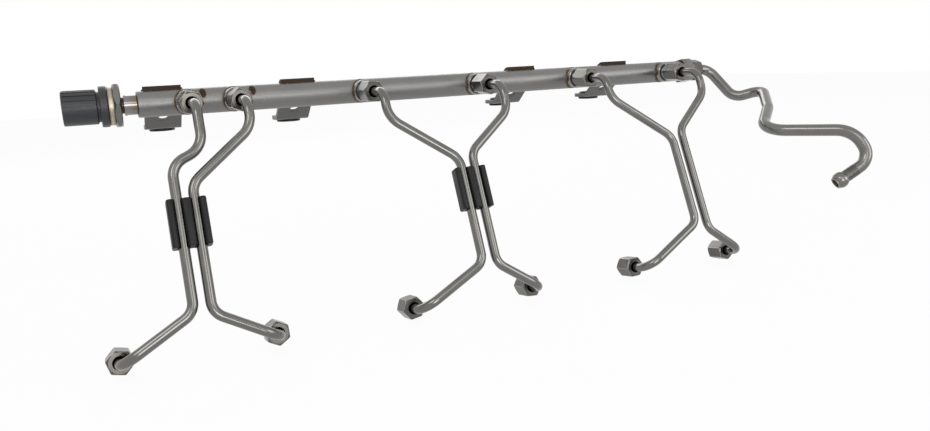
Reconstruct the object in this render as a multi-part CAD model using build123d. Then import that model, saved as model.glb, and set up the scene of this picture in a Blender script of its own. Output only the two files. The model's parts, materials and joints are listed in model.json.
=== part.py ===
from build123d import *
from math import atan2, cos, hypot, radians, sin, sqrt, tan
import os

# High-pressure fuel rail of a six-cylinder engine with direct injection.
# Millimetres. X runs along the rail towards the feed end, Y points from the injectors towards
# the cylinder head cover, Z is up. The origin lies midway between the bracket bolts, on the
# plane that the bracket bushes stand on.

# ---- driving dimensions: engine spacing -------------------------------------------------
bore_spacing = 91.0          # cylinder to cylinder, and so injector to injector
cylinders = 6
first_outlet_shift = 60.0    # the first outlet sits this much nearer to the second
injector_shift = -1.7        # injector axes against the outlets, along X

# ---- rail tube --------------------------------------------------------------------------
rail_od = 17.3
rail_bore = 10.0
rail_axis_y = -40.0          # rail axis in front of the bolt line
rail_axis_z = 20.5           # rail axis above the bush undersides
rail_left_beyond = 16.5      # left end, beyond the outer bracket bolt
rail_right_beyond = 24.5     # right end, beyond the last outlet
rail_edge_chamfer = 0.6
fuel_drilling = 3.0          # outlets, ports and injector pipes
braze_gap = 0.03             # between brazed faces

# ---- union nuts, M12 x 1.5, shared by both ends of the injector pipes -----------------------
union_flats = 14.0
rail_nut_length = 16.5
injector_nut_length = 14.0
union_thread = 12.0
union_wall = 3.2             # back wall that pulls on the pipe's ball
union_hole_gap = 0.8         # between the pipe and the hole in the back wall
union_relief = 12.6          # turned relief behind the thread
union_relief_end = 8.4       # from the back face
thread_clearance = 0.05      # radial, between a spigot and the nut on it
chamfer_angle = 30.0
seat_gap = 0.04              # between a ball and its seat
lead_in = 0.7                # chamfer at thread starts

# ---- outlets ----------------------------------------------------------------------------
outlet_face = 33.3           # back face of a tight rail nut, from the rail axis
collar_od = 16.1
collar_reach = 13.0          # front of the collar, from the rail axis
collar_chamfer = 0.7

# ---- injector pipes ---------------------------------------------------------------------
pipe_od = 6.35
pipe_bore = 3.0
pipe_ball = 8.8              # ball nipple, diameter
ball_front = 2.9             # flat front of the ball, from its centre
seat_half_angle = 30.0
drop_reach = 52.0            # first corner, in front of the rail axis
plane_reach = 51.5           # sloping plane of the pipes, in front of the rail axis at its height
plane_lean = radians(23.6)   # of that plane, from vertical
outlet_bend = 12.0
elbow_bend = 17.0
upper_bend = 13.5
lower_bend = 11.0
injector_bend = 12.0
injector_face_y = -129.8     # back face of the injector nuts
injector_face_z = -122.6
injector_tilt = radians(8.8)  # nut mouths point this much below +Y
injector_corner = 16.7       # last corner, in front of the injector nut's back face
pair_gap = 10.0              # axis to axis, where two pipes run side by side
pair_shift = (0.0, 4.5, 7.0)  # middle of each pair's straight runs, from its two cylinders' middle
elbow_down = (29.0, 17.5, 19.0, 20.0, 17.0, 18.5)      # down the plane to the second corner
upper_down = (38.0, 51.0, 52.5, 49.0, 53.0, 47.5)      # to the third corner
lower_down = (127.5, 129.5, 126.5, 128.5, 123.0, 129.0)  # to the fourth corner

# ---- damper blocks on the first two pairs --------------------------------------------------
damper_clear = 0.4           # below the end of the lowest bend above a block
damper_length = 29.5
damper_width = 23.0
damper_back = 5.6            # behind the pipe axes
damper_front = 4.4           # in front of them
damper_mouth = 4.6           # open slot that a pipe is pressed in through
damper_grip_gap = 0.03       # between a pipe and its groove
lobe_round = 1.9

# ---- brackets: bent strip, brazed round the back of the rail -------------------------------
strip_thickness = 2.8
strip_width = 24.0
saddle_top_angle = 93.0      # upper end of the saddle, from the horizontal behind the rail
tongue_slope = 38.0          # below the horizontal
tongue_drop = 3.3            # from the rail axis to the corner of saddle and tongue
strip_bend = 4.0             # middle of the thickness
fixture_hole = 7.0
fixture_hole_back = 18.5     # behind the rail axis
bush_neck = 12.0
bush_neck_gap = 0.05
bush_flange = 17.4
bush_cap = 15.8
bush_flange_height = 2.0
bush_cap_height = 1.7
sleeve_od = 9.0
sleeve_bore = 7.0
sleeve_gap = 0.05
outer_bolts = 4 * bore_spacing   # bolt spacing of the two outer brackets
inner_bolts = 2 * bore_spacing

# ---- pressure sensor at the left end -----------------------------------------------------
port_od = 12.9
port_length = 7.9
port_lip = 0.8               # raised rim on the port's outer end
plug_depth = 7.0             # of a plug inside the rail bore
plug_gap = 0.03
sensor_thread = 10.0
sensor_thread_depth = 6.4
sensor_neck_od = 10.6
sensor_neck = 1.8
sensor_flats = 27.0
sensor_hex_height = 4.3
sensor_hex_turn = 5.5
crimp_od = 24.8
crimp_width = 3.4
crimp_wall = 1.2
crimp_lip = 0.9              # rolled over the housing's foot
housing_od = 22.0
housing_length = 20.6
housing_groove = 1.5
housing_groove_od = 19.6
housing_collar_od = 26.4
housing_collar = 4.8
rib_count = 9
rib_height = 0.35
rib_width = 1.6
socket_width = 15.0
socket_height = 9.0
socket_depth = 17.0
socket_round = 4.0
key_width = 3.0
key_height = 1.6
terminal_count = 3
terminal_pitch = 3.5
terminal_width = 1.5
terminal_thickness = 0.8
terminal_length = 9.0        # free length in the socket
terminal_root = 4.0          # held in the housing floor
terminal_gap = 0.02
seal_section = 1.6
seal_squeeze = 0.02

# ---- feed pipe at the right end -----------------------------------------------------------
feed_hex_flats = 19.0
feed_hex_length = 10.6
feed_hex_turn = 49.0
feed_nut_flats = 16.5
feed_nut_length = 9.2
feed_nut_turn = 44.0
feed_thread = 13.0
feed_nut_wall = 2.4
feed_relief = 13.5
feed_relief_end = 4.4
feed_od = 9.0
feed_bore = 5.0
feed_ball = 10.6
feed_ball_front = 3.2
feed_spigot = 4.7            # length beyond the hex
free_ball = 12.2             # ball nipple at the free end
free_ball_front = 4.6
free_mouth = 6.4             # countersunk mouth of the free nipple
feed_corner = 12.5           # first corner, beyond the nut's back face
feed_route = (               # the other corners and the free end, from the rail's right end
    (45.3, -20.6, -26.3),
    (61.2, -39.1, -19.7),
    (34.4, -71.3, -32.8),
    (-0.9, -99.5, -47.5),
    (37.4, -152.1, -47.3),
    (44.5, -163.7, -68.5),
    (18.3, -154.2, -85.7),
)
feed_bends = (12.0, 13.5, 12.0, 30.0, 19.0, 21.0, 12.7)

os.makedirs("parts", exist_ok=True)

# ---- worked-out values --------------------------------------------------------------------
rail_radius = rail_od / 2
cylinder_x = [(i - (cylinders - 1) / 2) * bore_spacing for i in range(cylinders)]
outlet_x = [cylinder_x[0] + first_outlet_shift] + cylinder_x[1:]
injector_x = [x + injector_shift for x in cylinder_x]
bracket_x = [-outer_bolts / 2, -inner_bolts / 2, inner_bolts / 2, outer_bolts / 2]
pair_x = [(cylinder_x[2 * k] + cylinder_x[2 * k + 1]) / 2 + s for k, s in enumerate(pair_shift)]
rail_left_x = bracket_x[0] - rail_left_beyond
rail_right_x = outlet_x[-1] + rail_right_beyond
rail_axis = Vector(0, rail_axis_y, rail_axis_z)
down_plane = Vector(0, -sin(plane_lean), -cos(plane_lean))
injector_dir = Vector(0, cos(injector_tilt), -sin(injector_tilt))
outlet_dir = Vector(0, -1, 0)


def save(part, node):
    """Write one sub-part under its node's name."""
    part.label = node
    export_step(part, f"parts/{node}.step")


def placed(part, origin, direction, turn=0.0):
    """Turn a part's local +Z towards a direction and move it to an origin."""
    side = Vector(1, 0, 0) if abs(direction.X) < 0.9 else Vector(0, 1, 0)
    where = Plane(origin=origin, x_dir=side, z_dir=direction)
    return where.location * Rot(0, 0, turn) * part


def turned(profile):
    """Solid of revolution about Z from (radius, height) points."""
    with_axis = Polyline(*[(r, 0, z) for r, z in profile], close=True)
    return revolve(make_face(with_axis), Axis.Z, 360)


def disc(radius, low, high):
    """Cylinder on Z between two heights."""
    return Pos(0, 0, (low + high) / 2) * Cylinder(radius, high - low)


def ball_centre(wall, hole_radius, ball_radius):
    """Height of a ball's centre where it bears on the rim of the hole in a nut's back wall."""
    return wall + sqrt(ball_radius ** 2 - hole_radius ** 2) + seat_gap


def union_nut(flats, length, thread, wall, hole, relief, relief_end):
    """Hexagon nut on Z: back face at 0, mouth at its length."""
    corner = flats / sqrt(3)
    slope = tan(radians(chamfer_angle))
    back = flats / 2 - 0.7
    mouth = flats / 2 + 0.1
    hexagon = extrude(RegularPolygon(flats / 2, 6, major_radius=False), length)
    envelope = turned([
        (0, 0), (back, 0), (corner + 0.2, (corner + 0.2 - back) * slope),
        (corner + 0.2, length - (corner + 0.2 - mouth) * slope), (mouth, length), (0, length),
    ])
    inside = turned([
        (0, -1), (hole, -1), (hole, wall), (relief / 2, wall), (relief / 2, relief_end),
        (thread / 2, relief_end), (thread / 2, length - lead_in),
        (thread / 2 + lead_in, length), (thread / 2 + lead_in, length + 1), (0, length + 1),
    ])
    return (hexagon & envelope) - inside


def seat_end(ball_radius, centre, mouth_radius):
    """Height of a spigot's end whose cone of seat_half_angle rests on a ball."""
    half = radians(seat_half_angle)
    contact_radius = (ball_radius + seat_gap) * cos(half)
    contact = centre + (ball_radius + seat_gap) * sin(half)
    return contact - (mouth_radius - contact_radius) / tan(half)


def ball_nipple(ball_radius, front, place, direction):
    """Ball with a flat front that looks along a direction."""
    ball = Sphere(ball_radius) - disc(ball_radius, front, front + ball_radius)
    return placed(ball, place, direction)


def rod(route, radii, diameter):
    """Round bar along straight runs joined by tangent arcs."""
    path = FilletPolyline(*route, radius=radii)
    start = Plane(origin=route[0], z_dir=(Vector(*route[1]) - Vector(*route[0])).normalized())
    return sweep(start * Circle(diameter / 2), path=path)


# ---- union nut and ball seat shared values ---------------------------------------------------
union_hole = pipe_od / 2 + union_hole_gap
ball_radius = pipe_ball / 2
union_ball = ball_centre(union_wall, union_hole, ball_radius)
spigot_radius = union_thread / 2 - thread_clearance
seat_mouth = spigot_radius - 1.0
union_seat = seat_end(ball_radius, union_ball, seat_mouth)


def screwed_spigot(outer_radius, base, end, mouth_radius, bore_radius):
    """Threaded stub on Z with a conical ball seat in its end; (outer, inner) profiles."""
    depth = (mouth_radius - bore_radius) / tan(radians(seat_half_angle))
    stub = turned([
        (0, base), (outer_radius, base), (outer_radius, end - lead_in),
        (outer_radius - lead_in, end), (0, end),
    ])
    seat = turned([
        (0, end - depth), (bore_radius, end - depth), (mouth_radius, end),
        (mouth_radius, end + 1), (0, end + 1),
    ])
    return stub, seat


# ---- rail tube ----------------------------------------------------------------------------
def rail_tube():
    """Thick drawn tube with a fuel drilling under each outlet."""
    length = rail_right_x - rail_left_x
    tube = Cylinder(rail_radius, length) - Cylinder(rail_bore / 2, length)
    tube = chamfer(tube.edges().filter_by(GeomType.CIRCLE).group_by(SortBy.RADIUS)[-1],
                   rail_edge_chamfer)
    middle = Vector((rail_left_x + rail_right_x) / 2, rail_axis_y, rail_axis_z)
    tube = placed(tube, middle, Vector(1, 0, 0))
    for x in outlet_x:
        drilling = placed(disc(fuel_drilling / 2, 0, rail_od), rail_axis + Vector(x, 0, 0),
                          outlet_dir)
        tube -= drilling
    return tube


save(rail_tube(), "rail_tube")
rail_body = placed(Cylinder(rail_radius + braze_gap, 2 * outer_bolts), rail_axis, Vector(1, 0, 0))


# ---- outlets, rail nuts ---------------------------------------------------------------------
def outlet(x):
    """Brazed collar with a threaded spigot and ball seat, saddle-cut to the rail."""
    spigot_end = outlet_face - union_seat
    collar = turned([
        (0, 0), (collar_od / 2, 0), (collar_od / 2, collar_reach - collar_chamfer),
        (collar_od / 2 - collar_chamfer, collar_reach), (0, collar_reach),
    ])
    stub, seat = screwed_spigot(spigot_radius, collar_reach - 1, spigot_end, seat_mouth,
                                fuel_drilling / 2)
    body = collar + stub - seat - disc(fuel_drilling / 2, 0, spigot_end)
    return placed(body, rail_axis + Vector(x, 0, 0), outlet_dir) - rail_body


def nut_for_pipe(length, face, mouth_dir, turn):
    """Union nut with its back face at a point and its mouth looking along a direction."""
    nut = union_nut(union_flats, length, union_thread, union_wall, union_hole,
                    union_relief, union_relief_end)
    return placed(nut, face, mouth_dir, turn)


rail_face = [rail_axis + Vector(x, -outlet_face, 0) for x in outlet_x]
injector_face = [Vector(x, injector_face_y, injector_face_z) for x in injector_x]
rail_nut_turn = (11.0, 24.0, 6.0, 17.0, 2.0, 13.0)
injector_nut_turn = (13.0, 27.0, 50.0, 4.0, 58.0, 19.0)
for i in range(cylinders):
    save(outlet(outlet_x[i]), f"outlet_{i + 1}")
    rail_nut = nut_for_pipe(rail_nut_length, rail_face[i], -outlet_dir, rail_nut_turn[i])
    injector_nut = nut_for_pipe(injector_nut_length, injector_face[i], injector_dir,
                                injector_nut_turn[i])
    save(rail_nut, f"rail_nut_{i + 1}")
    save(injector_nut, f"injector_nut_{i + 1}")


# ---- injector pipes -----------------------------------------------------------------------
def on_pipe_plane(x, down):
    """Point on the sloping plane of the pipes, a distance down it from the rail's height."""
    top = Vector(x, rail_axis_y - plane_reach, rail_axis_z)
    return top + down_plane * down


def pipe_x(i):
    """X of a pipe's straight run beside its neighbour."""
    side = -0.5 if i % 2 == 0 else 0.5
    return pair_x[i // 2] + side * pair_gap


def upper_radius(i):
    """Radius and tangent length of the bend where a pipe joins its neighbour."""
    sideways = abs(pipe_x(i) - outlet_x[i])
    along = upper_down[i] - elbow_down[i]
    angle = atan2(sideways, along)
    radius = min(upper_bend, hypot(sideways, along) / 2.2 / tan(angle / 2))
    return radius, radius * tan(angle / 2)


def injector_pipe(i):
    """Bent pipe with a ball nipple at each end and a bore right through."""
    rail_ball = rail_face[i] - outlet_dir * union_ball
    engine_ball = injector_face[i] + injector_dir * union_ball
    rail_end = rail_ball - outlet_dir * ball_front
    engine_end = engine_ball + injector_dir * ball_front
    route = [
        rail_end,
        rail_axis + Vector(outlet_x[i], -drop_reach, 0),
        on_pipe_plane(outlet_x[i], elbow_down[i]),
        on_pipe_plane(pipe_x(i), upper_down[i]),
        on_pipe_plane(pipe_x(i), lower_down[i]),
        injector_face[i] - injector_dir * injector_corner,
        engine_end,
    ]
    run = (route[3] - route[2]).length
    turn = (route[2] - route[1]).get_angle(route[3] - route[2])
    elbow = min(elbow_bend, run / 2.2 / tan(radians(turn / 2)))
    radii = [outlet_bend, elbow, upper_radius(i)[0], lower_bend, injector_bend]
    pipe = rod(route, radii, pipe_od)
    pipe += ball_nipple(ball_radius, ball_front, rail_ball, -outlet_dir)
    pipe += ball_nipple(ball_radius, ball_front, engine_ball, injector_dir)
    return pipe - rod(route, radii, pipe_bore)


for i in range(cylinders):
    save(injector_pipe(i), f"injector_pipe_{i + 1}")


# ---- damper blocks --------------------------------------------------------------------------
damper_start = max(upper_down[i] + upper_radius(i)[1] for i in range(4))


def damper(x):
    """Rubber block with three rounded bars and two grooves that pipes snap into."""
    depth = damper_back + damper_front
    block = Pos(0, (damper_back - damper_front) / 2) * RectangleRounded(
        damper_width, depth, lobe_round)
    bar = (pair_gap - damper_mouth) / 2
    for side in (-0.5, 0.5):
        groove = Pos(side * pair_gap, 0) * Circle(pipe_od / 2 + damper_grip_gap)
        slot = Pos(side * pair_gap, -damper_front / 2) * Rectangle(damper_mouth, damper_front)
        block -= groove + slot
    notch = Pos(0, damper_back) * Circle(bar / 2)
    block -= notch
    solid = extrude(block, damper_length)
    start = on_pipe_plane(x, damper_start + damper_clear)
    where = Plane(origin=start, x_dir=(-1, 0, 0), z_dir=down_plane)
    return where.location * solid


for k in range(2):
    save(damper(pair_x[k]), f"damper_{k + 1}")


# ---- brackets, bushes and sleeves -------------------------------------------------------------
foot_middle = bush_flange_height + strip_thickness / 2
saddle_radius = rail_radius + braze_gap + strip_thickness / 2
slope = tan(radians(tongue_slope))
tongue_corner = (rail_axis_y + saddle_radius, rail_axis_z - tongue_drop)
foot_corner_y = tongue_corner[0] + (tongue_corner[1] - foot_middle) / slope


def bracket(x):
    """Strip bent from a saddle round the rail's back to a sloping tongue and a level foot."""
    centre = (rail_axis_y, rail_axis_z)
    saddle = CenterArc(centre, saddle_radius, 0, saddle_top_angle)
    tail = FilletPolyline(
        (tongue_corner[0], rail_axis_z), tongue_corner, (foot_corner_y, foot_middle),
        (strip_width / 2, foot_middle), radius=strip_bend)
    path = Plane.YZ * (saddle + tail)
    end = Plane(origin=(0, strip_width / 2, foot_middle), x_dir=(1, 0, 0), z_dir=(0, -1, 0))
    strip = sweep(end * Rectangle(strip_width, strip_thickness), path=path)
    tip = Pos(0, strip_width / 2, foot_middle) * Box(
        strip_width, strip_width, 2 * strip_thickness)
    strip -= tip - Cylinder(strip_width / 2, 4 * foot_middle)
    strip -= Cylinder(bush_neck / 2 + bush_neck_gap, 4 * foot_middle)
    hole_down = (fixture_hole_back - saddle_radius) * slope + tongue_drop
    hole_place = rail_axis + Vector(0, fixture_hole_back, -hole_down)
    normal = Vector(0, sin(radians(tongue_slope)), cos(radians(tongue_slope)))
    strip -= placed(Cylinder(fixture_hole / 2, 3 * strip_thickness), hole_place, normal)
    return Pos(x, 0, 0) * strip


def bush(x):
    """Rubber bush: wide foot flange, neck through the bracket, narrower cap."""
    cap_low = bush_flange_height + strip_thickness
    top = cap_low + bush_cap_height
    hole = sleeve_od / 2 + sleeve_gap
    body = turned([
        (hole, 0), (bush_flange / 2, 0), (bush_flange / 2, bush_flange_height),
        (bush_neck / 2, bush_flange_height), (bush_neck / 2, cap_low),
        (bush_cap / 2, cap_low), (bush_cap / 2 - bush_cap_height / 2, top), (hole, top),
    ])
    return Pos(x, 0, 0) * body


def sleeve(x):
    """Steel sleeve that takes the bolt's clamping force."""
    height = bush_flange_height + strip_thickness + bush_cap_height
    tube = disc(sleeve_od / 2, 0, height) - disc(sleeve_bore / 2, -1, height + 1)
    return Pos(x, 0, 0) * tube


for k, x in enumerate(bracket_x):
    save(bracket(x), f"bracket_{k + 1}")
    save(bush(x), f"bracket_bush_{k + 1}")
    save(sleeve(x), f"bush_sleeve_{k + 1}")


# ---- pressure sensor, built on +Z from the rail's left end ----------------------------------------
plug_radius = rail_bore / 2 - plug_gap
hex_low = port_length + sensor_neck
hex_high = hex_low + sensor_hex_height
crimp_high = hex_high + crimp_width
collar_high = crimp_high + housing_collar
housing_low = collar_high + housing_groove
housing_high = housing_low + housing_length
sensor_origin = rail_axis + Vector(rail_left_x, 0, 0)
sensor_dir = Vector(-1, 0, 0)
seat_radius = sensor_thread / 2 - 1.2


def sensor_port():
    """Brazed adapter with a plug in the rail bore and a thread for the sensor."""
    bore = fuel_drilling / 2
    body = turned([
        (bore, -plug_depth), (plug_radius, -plug_depth), (plug_radius, braze_gap),
        (port_od / 2, braze_gap), (port_od / 2, port_length - 1.2),
        (port_od / 2 + port_lip / 2, port_length - 1.2), (port_od / 2 + port_lip / 2, port_length),
        (sensor_thread / 2, port_length), (sensor_thread / 2, port_length - sensor_thread_depth),
        (seat_radius, port_length - sensor_thread_depth), (bore, port_length - sensor_thread_depth),
    ])
    return placed(body, sensor_origin, sensor_dir)


def sensor_body():
    """Steel hexagon with a threaded nose that seals in the port."""
    nose = sensor_thread / 2 - thread_clearance
    hexagon = extrude(RegularPolygon(sensor_flats / 2, 6, major_radius=False), sensor_hex_height)
    corner = sensor_flats / sqrt(3)
    rim = sensor_flats / 2 - 0.2
    bevel = (corner - rim) * tan(radians(chamfer_angle))
    envelope = turned([
        (0, 0), (rim, 0), (corner, bevel), (corner, sensor_hex_height - bevel),
        (rim, sensor_hex_height), (0, sensor_hex_height),
    ])
    body = Pos(0, 0, hex_low) * Rot(0, 0, sensor_hex_turn) * (hexagon & envelope)
    body += disc(sensor_neck_od / 2, port_length + seat_gap, hex_low)
    low = port_length - sensor_thread_depth + seat_gap
    body += turned([
        (0, low), (nose - lead_in, low), (nose, low + lead_in), (nose, hex_low), (0, hex_low),
    ])
    body -= disc(fuel_drilling / 2, low, hex_high - 1.0)
    return placed(body, sensor_origin, sensor_dir)


def crimp_ring():
    """Thin steel ring that holds the housing's foot on the hexagon."""
    outer = crimp_od / 2
    body = turned([
        (outer - crimp_wall, hex_high), (outer, hex_high), (outer, crimp_high - 0.3),
        (outer - 0.3, crimp_high), (outer - crimp_wall - crimp_lip, crimp_high),
        (outer - crimp_wall - crimp_lip, crimp_high - crimp_lip),
        (outer - crimp_wall, crimp_high - crimp_lip),
    ])
    return placed(body, sensor_origin, sensor_dir)


foot_radius = crimp_od / 2 - crimp_wall - 0.05
seal_radius = foot_radius - seal_section / 2 - 1.2


def sensor_housing():
    """Moulded connector housing: foot, collar, groove and a ribbed barrel with a socket."""
    waist = foot_radius - crimp_lip - 0.05
    body = turned([
        (0, hex_high + 0.05), (foot_radius, hex_high + 0.05),
        (foot_radius, crimp_high - crimp_lip - 0.05), (waist, crimp_high - crimp_lip - 0.05),
        (waist, crimp_high + 0.05), (housing_collar_od / 2 - 0.5, crimp_high + 0.05),
        (housing_collar_od / 2, crimp_high + 0.55), (housing_collar_od / 2, collar_high - 0.5),
        (housing_collar_od / 2 - 0.5, collar_high), (housing_groove_od / 2, collar_high),
        (housing_groove_od / 2, housing_low), (housing_od / 2 - 0.6, housing_low),
        (housing_od / 2, housing_low + 0.6), (housing_od / 2, housing_high - 0.5),
        (housing_od / 2 - 0.5, housing_high), (0, housing_high),
    ])
    step = 20.0
    for k in range(rib_count):
        angle = (k - (rib_count - 1) / 2) * step - 90
        rib = Pos(housing_od / 2, 0, (housing_low + housing_high) / 2) * Box(
            2 * rib_height, rib_width, housing_length - 1.6)
        body += Rot(0, 0, angle) * rib
    body += Pos(0, 0, (collar_high + housing_low) / 2) * Rot(0, 0, 90) * Box(
        housing_od * 0.8, 6.0, housing_groove + 0.4)
    socket = RectangleRounded(socket_width, socket_height, socket_round)
    key = Pos(0, socket_height / 2) * Rectangle(key_width, 2 * key_height)
    cavity = Pos(0, 0, housing_high - socket_depth) * extrude(socket + key, socket_depth + 1)
    body -= cavity
    for k in range(terminal_count):
        body -= terminal(k, terminal_gap)
    groove = Pos(0, 0, hex_high + 0.05) * Torus(seal_radius, seal_section / 2)
    body -= groove
    return placed(body, sensor_origin, sensor_dir)


def terminal(k, grow):
    """One flat terminal blade of the row in the socket, or the slot for it."""
    low = housing_high - socket_depth - terminal_root
    x = (k - (terminal_count - 1) / 2) * terminal_pitch
    length = terminal_length + terminal_root
    blade = Box(terminal_width + 2 * grow, terminal_thickness + 2 * grow, length + 2 * grow)
    return Pos(x, 0, low + length / 2) * blade


def sensor_seal():
    """Seal ring in the groove under the housing's foot, pressed on the hexagon."""
    ring = Pos(0, 0, hex_high + 0.05) * Torus(seal_radius, seal_section / 2 - seal_squeeze)
    ring &= disc(housing_od, hex_high + seal_squeeze, hex_high + seal_section)
    return placed(ring, sensor_origin, sensor_dir)


save(sensor_port(), "sensor_port")
save(sensor_body(), "sensor_body")
save(crimp_ring(), "crimp_ring")
save(sensor_housing(), "sensor_housing")
save(sensor_seal(), "sensor_seal")
for k in range(terminal_count):
    save(placed(terminal(k, 0.0), sensor_origin, sensor_dir), f"sensor_terminal_{k + 1}")

# ---- feed end: fitting, nut and pipe ----------------------------------------------------------
feed_origin = rail_axis + Vector(rail_right_x, 0, 0)
feed_dir = Vector(1, 0, 0)
feed_hole = feed_od / 2 + union_hole_gap / 2
feed_ball_radius = feed_ball / 2
feed_centre = ball_centre(feed_nut_wall, feed_hole, feed_ball_radius)
feed_spigot_radius = feed_thread / 2 - thread_clearance
feed_seat_mouth = feed_spigot_radius - 1.0
feed_seat = seat_end(feed_ball_radius, feed_centre, feed_seat_mouth)
spigot_tip = feed_hex_length + feed_spigot
feed_nut_face = feed_origin + feed_dir * (spigot_tip + feed_seat)


def feed_fitting():
    """Brazed end fitting: plug in the rail bore, hexagon and threaded spigot."""
    corner = feed_hex_flats / sqrt(3)
    rim = feed_hex_flats / 2 - 0.2
    bevel = (corner - rim) * tan(radians(chamfer_angle))
    hexagon = extrude(RegularPolygon(feed_hex_flats / 2, 6, major_radius=False), feed_hex_length)
    envelope = turned([
        (0, braze_gap), (rim, braze_gap), (corner, bevel), (corner, feed_hex_length - bevel),
        (rim, feed_hex_length), (0, feed_hex_length),
    ])
    stub, seat = screwed_spigot(feed_spigot_radius, feed_hex_length - 1, spigot_tip,
                                feed_seat_mouth, fuel_drilling / 2)
    body = (hexagon & envelope) + stub + disc(plug_radius, -plug_depth, 1)
    body = body - seat - disc(fuel_drilling / 2, -plug_depth, spigot_tip)
    return placed(body, feed_origin, feed_dir, feed_hex_turn)


def feed_pipe():
    """Larger bent pipe: ball nipple in the nut, countersunk ball nipple at its free end."""
    rail_ball = feed_nut_face - feed_dir * feed_centre
    start = rail_ball - feed_dir * feed_ball_front
    route = [start, feed_nut_face + feed_dir * feed_corner]
    route += [feed_origin + Vector(*point) for point in feed_route]
    heading = (route[-1] - route[-2]).normalized()
    pipe = rod([rail_ball] + route[1:], feed_bends, feed_od)
    pipe += ball_nipple(feed_ball_radius, feed_ball_front, rail_ball, -feed_dir)
    tip = route[-1]
    pipe += ball_nipple(free_ball / 2, free_ball_front, tip - heading * free_ball_front, heading)
    mouth = turned([
        (0, -2.0), (feed_bore / 2, -2.0), (free_mouth / 2, 0), (free_mouth / 2, 1), (0, 1),
    ])
    pipe -= placed(mouth, tip, heading)
    return pipe - rod(route, feed_bends, feed_bore)


save(feed_fitting(), "feed_fitting")
feed_nut = union_nut(feed_nut_flats, feed_nut_length, feed_thread, feed_nut_wall, feed_hole,
                     feed_relief, feed_relief_end)
save(placed(feed_nut, feed_nut_face, -feed_dir, feed_nut_turn), "feed_nut")
save(feed_pipe(), "feed_pipe")
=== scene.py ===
import bmesh
import bpy
import json
import numpy as np
from math import cos, pi, radians, sin, tan
from mathutils import Matrix, Vector


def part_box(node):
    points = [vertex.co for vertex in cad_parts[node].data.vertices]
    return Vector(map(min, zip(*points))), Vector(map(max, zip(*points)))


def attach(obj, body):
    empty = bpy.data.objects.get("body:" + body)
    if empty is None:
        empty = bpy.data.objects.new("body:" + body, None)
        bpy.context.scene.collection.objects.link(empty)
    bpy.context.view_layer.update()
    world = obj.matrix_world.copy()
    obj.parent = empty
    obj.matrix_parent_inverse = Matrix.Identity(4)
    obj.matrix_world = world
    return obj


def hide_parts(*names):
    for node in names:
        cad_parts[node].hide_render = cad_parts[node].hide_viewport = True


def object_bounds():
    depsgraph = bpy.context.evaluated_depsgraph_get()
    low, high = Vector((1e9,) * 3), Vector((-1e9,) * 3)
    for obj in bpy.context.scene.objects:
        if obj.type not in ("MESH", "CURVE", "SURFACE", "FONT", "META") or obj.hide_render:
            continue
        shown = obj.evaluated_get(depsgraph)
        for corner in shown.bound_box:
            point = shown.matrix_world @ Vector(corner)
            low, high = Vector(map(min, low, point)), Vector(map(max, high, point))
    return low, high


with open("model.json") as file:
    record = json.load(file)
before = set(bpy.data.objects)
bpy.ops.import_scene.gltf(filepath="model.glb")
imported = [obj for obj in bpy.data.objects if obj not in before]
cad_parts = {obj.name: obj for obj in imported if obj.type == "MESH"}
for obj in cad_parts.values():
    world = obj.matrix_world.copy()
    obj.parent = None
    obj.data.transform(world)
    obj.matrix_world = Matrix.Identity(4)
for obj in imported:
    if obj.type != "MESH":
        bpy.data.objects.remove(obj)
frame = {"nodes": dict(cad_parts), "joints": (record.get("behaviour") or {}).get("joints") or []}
CAD_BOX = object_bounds()

bl_info = {
    "name": "Fuel Rail",
    "version": (1, 0, 0),
    "blender": (4, 5, 0),
    "location": "3D View > Sidebar > Fuel Rail",
    "description": "Dresses a six-outlet fuel rail with its pipes, nuts, brackets and sensor",
    "category": "Object",
}

MM = 0.001
CYLINDERS = 6
BRACKETS = 4
NODES = frame["nodes"]


def node_middle(node):
    """Centre of a frame node's box, in metres."""
    low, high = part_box(node)
    return (np.array(low) + np.array(high)) / 2


RAIL_MIDDLE = node_middle("rail_tube")
RAIL_RADIUS = (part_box("rail_tube")[1][2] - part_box("rail_tube")[0][2]) / 2
OUTLET_X = [float(node_middle(f"outlet_{i + 1}")[0]) for i in range(CYLINDERS)]
BRACKET_X = [float(node_middle(f"bracket_{i + 1}")[0]) for i in range(BRACKETS)]
COLLAR_RADIUS = 8.05 * MM
BRACKET_HALF = 12.05 * MM
FEED_TIP = (270.3 * MM, -194.2 * MM, -65.2 * MM)
FEED_LAST_BEND = (296.5 * MM, -203.7 * MM, -48.0 * MM)
PIPE_LEAN = radians(23.6)
CAMERA_PLACE = (-0.2250, -0.6033, 0.0369)
CAMERA_YAW, CAMERA_PITCH, CAMERA_ROLL = radians(24.764), radians(10.993), radians(2.860)


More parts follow.
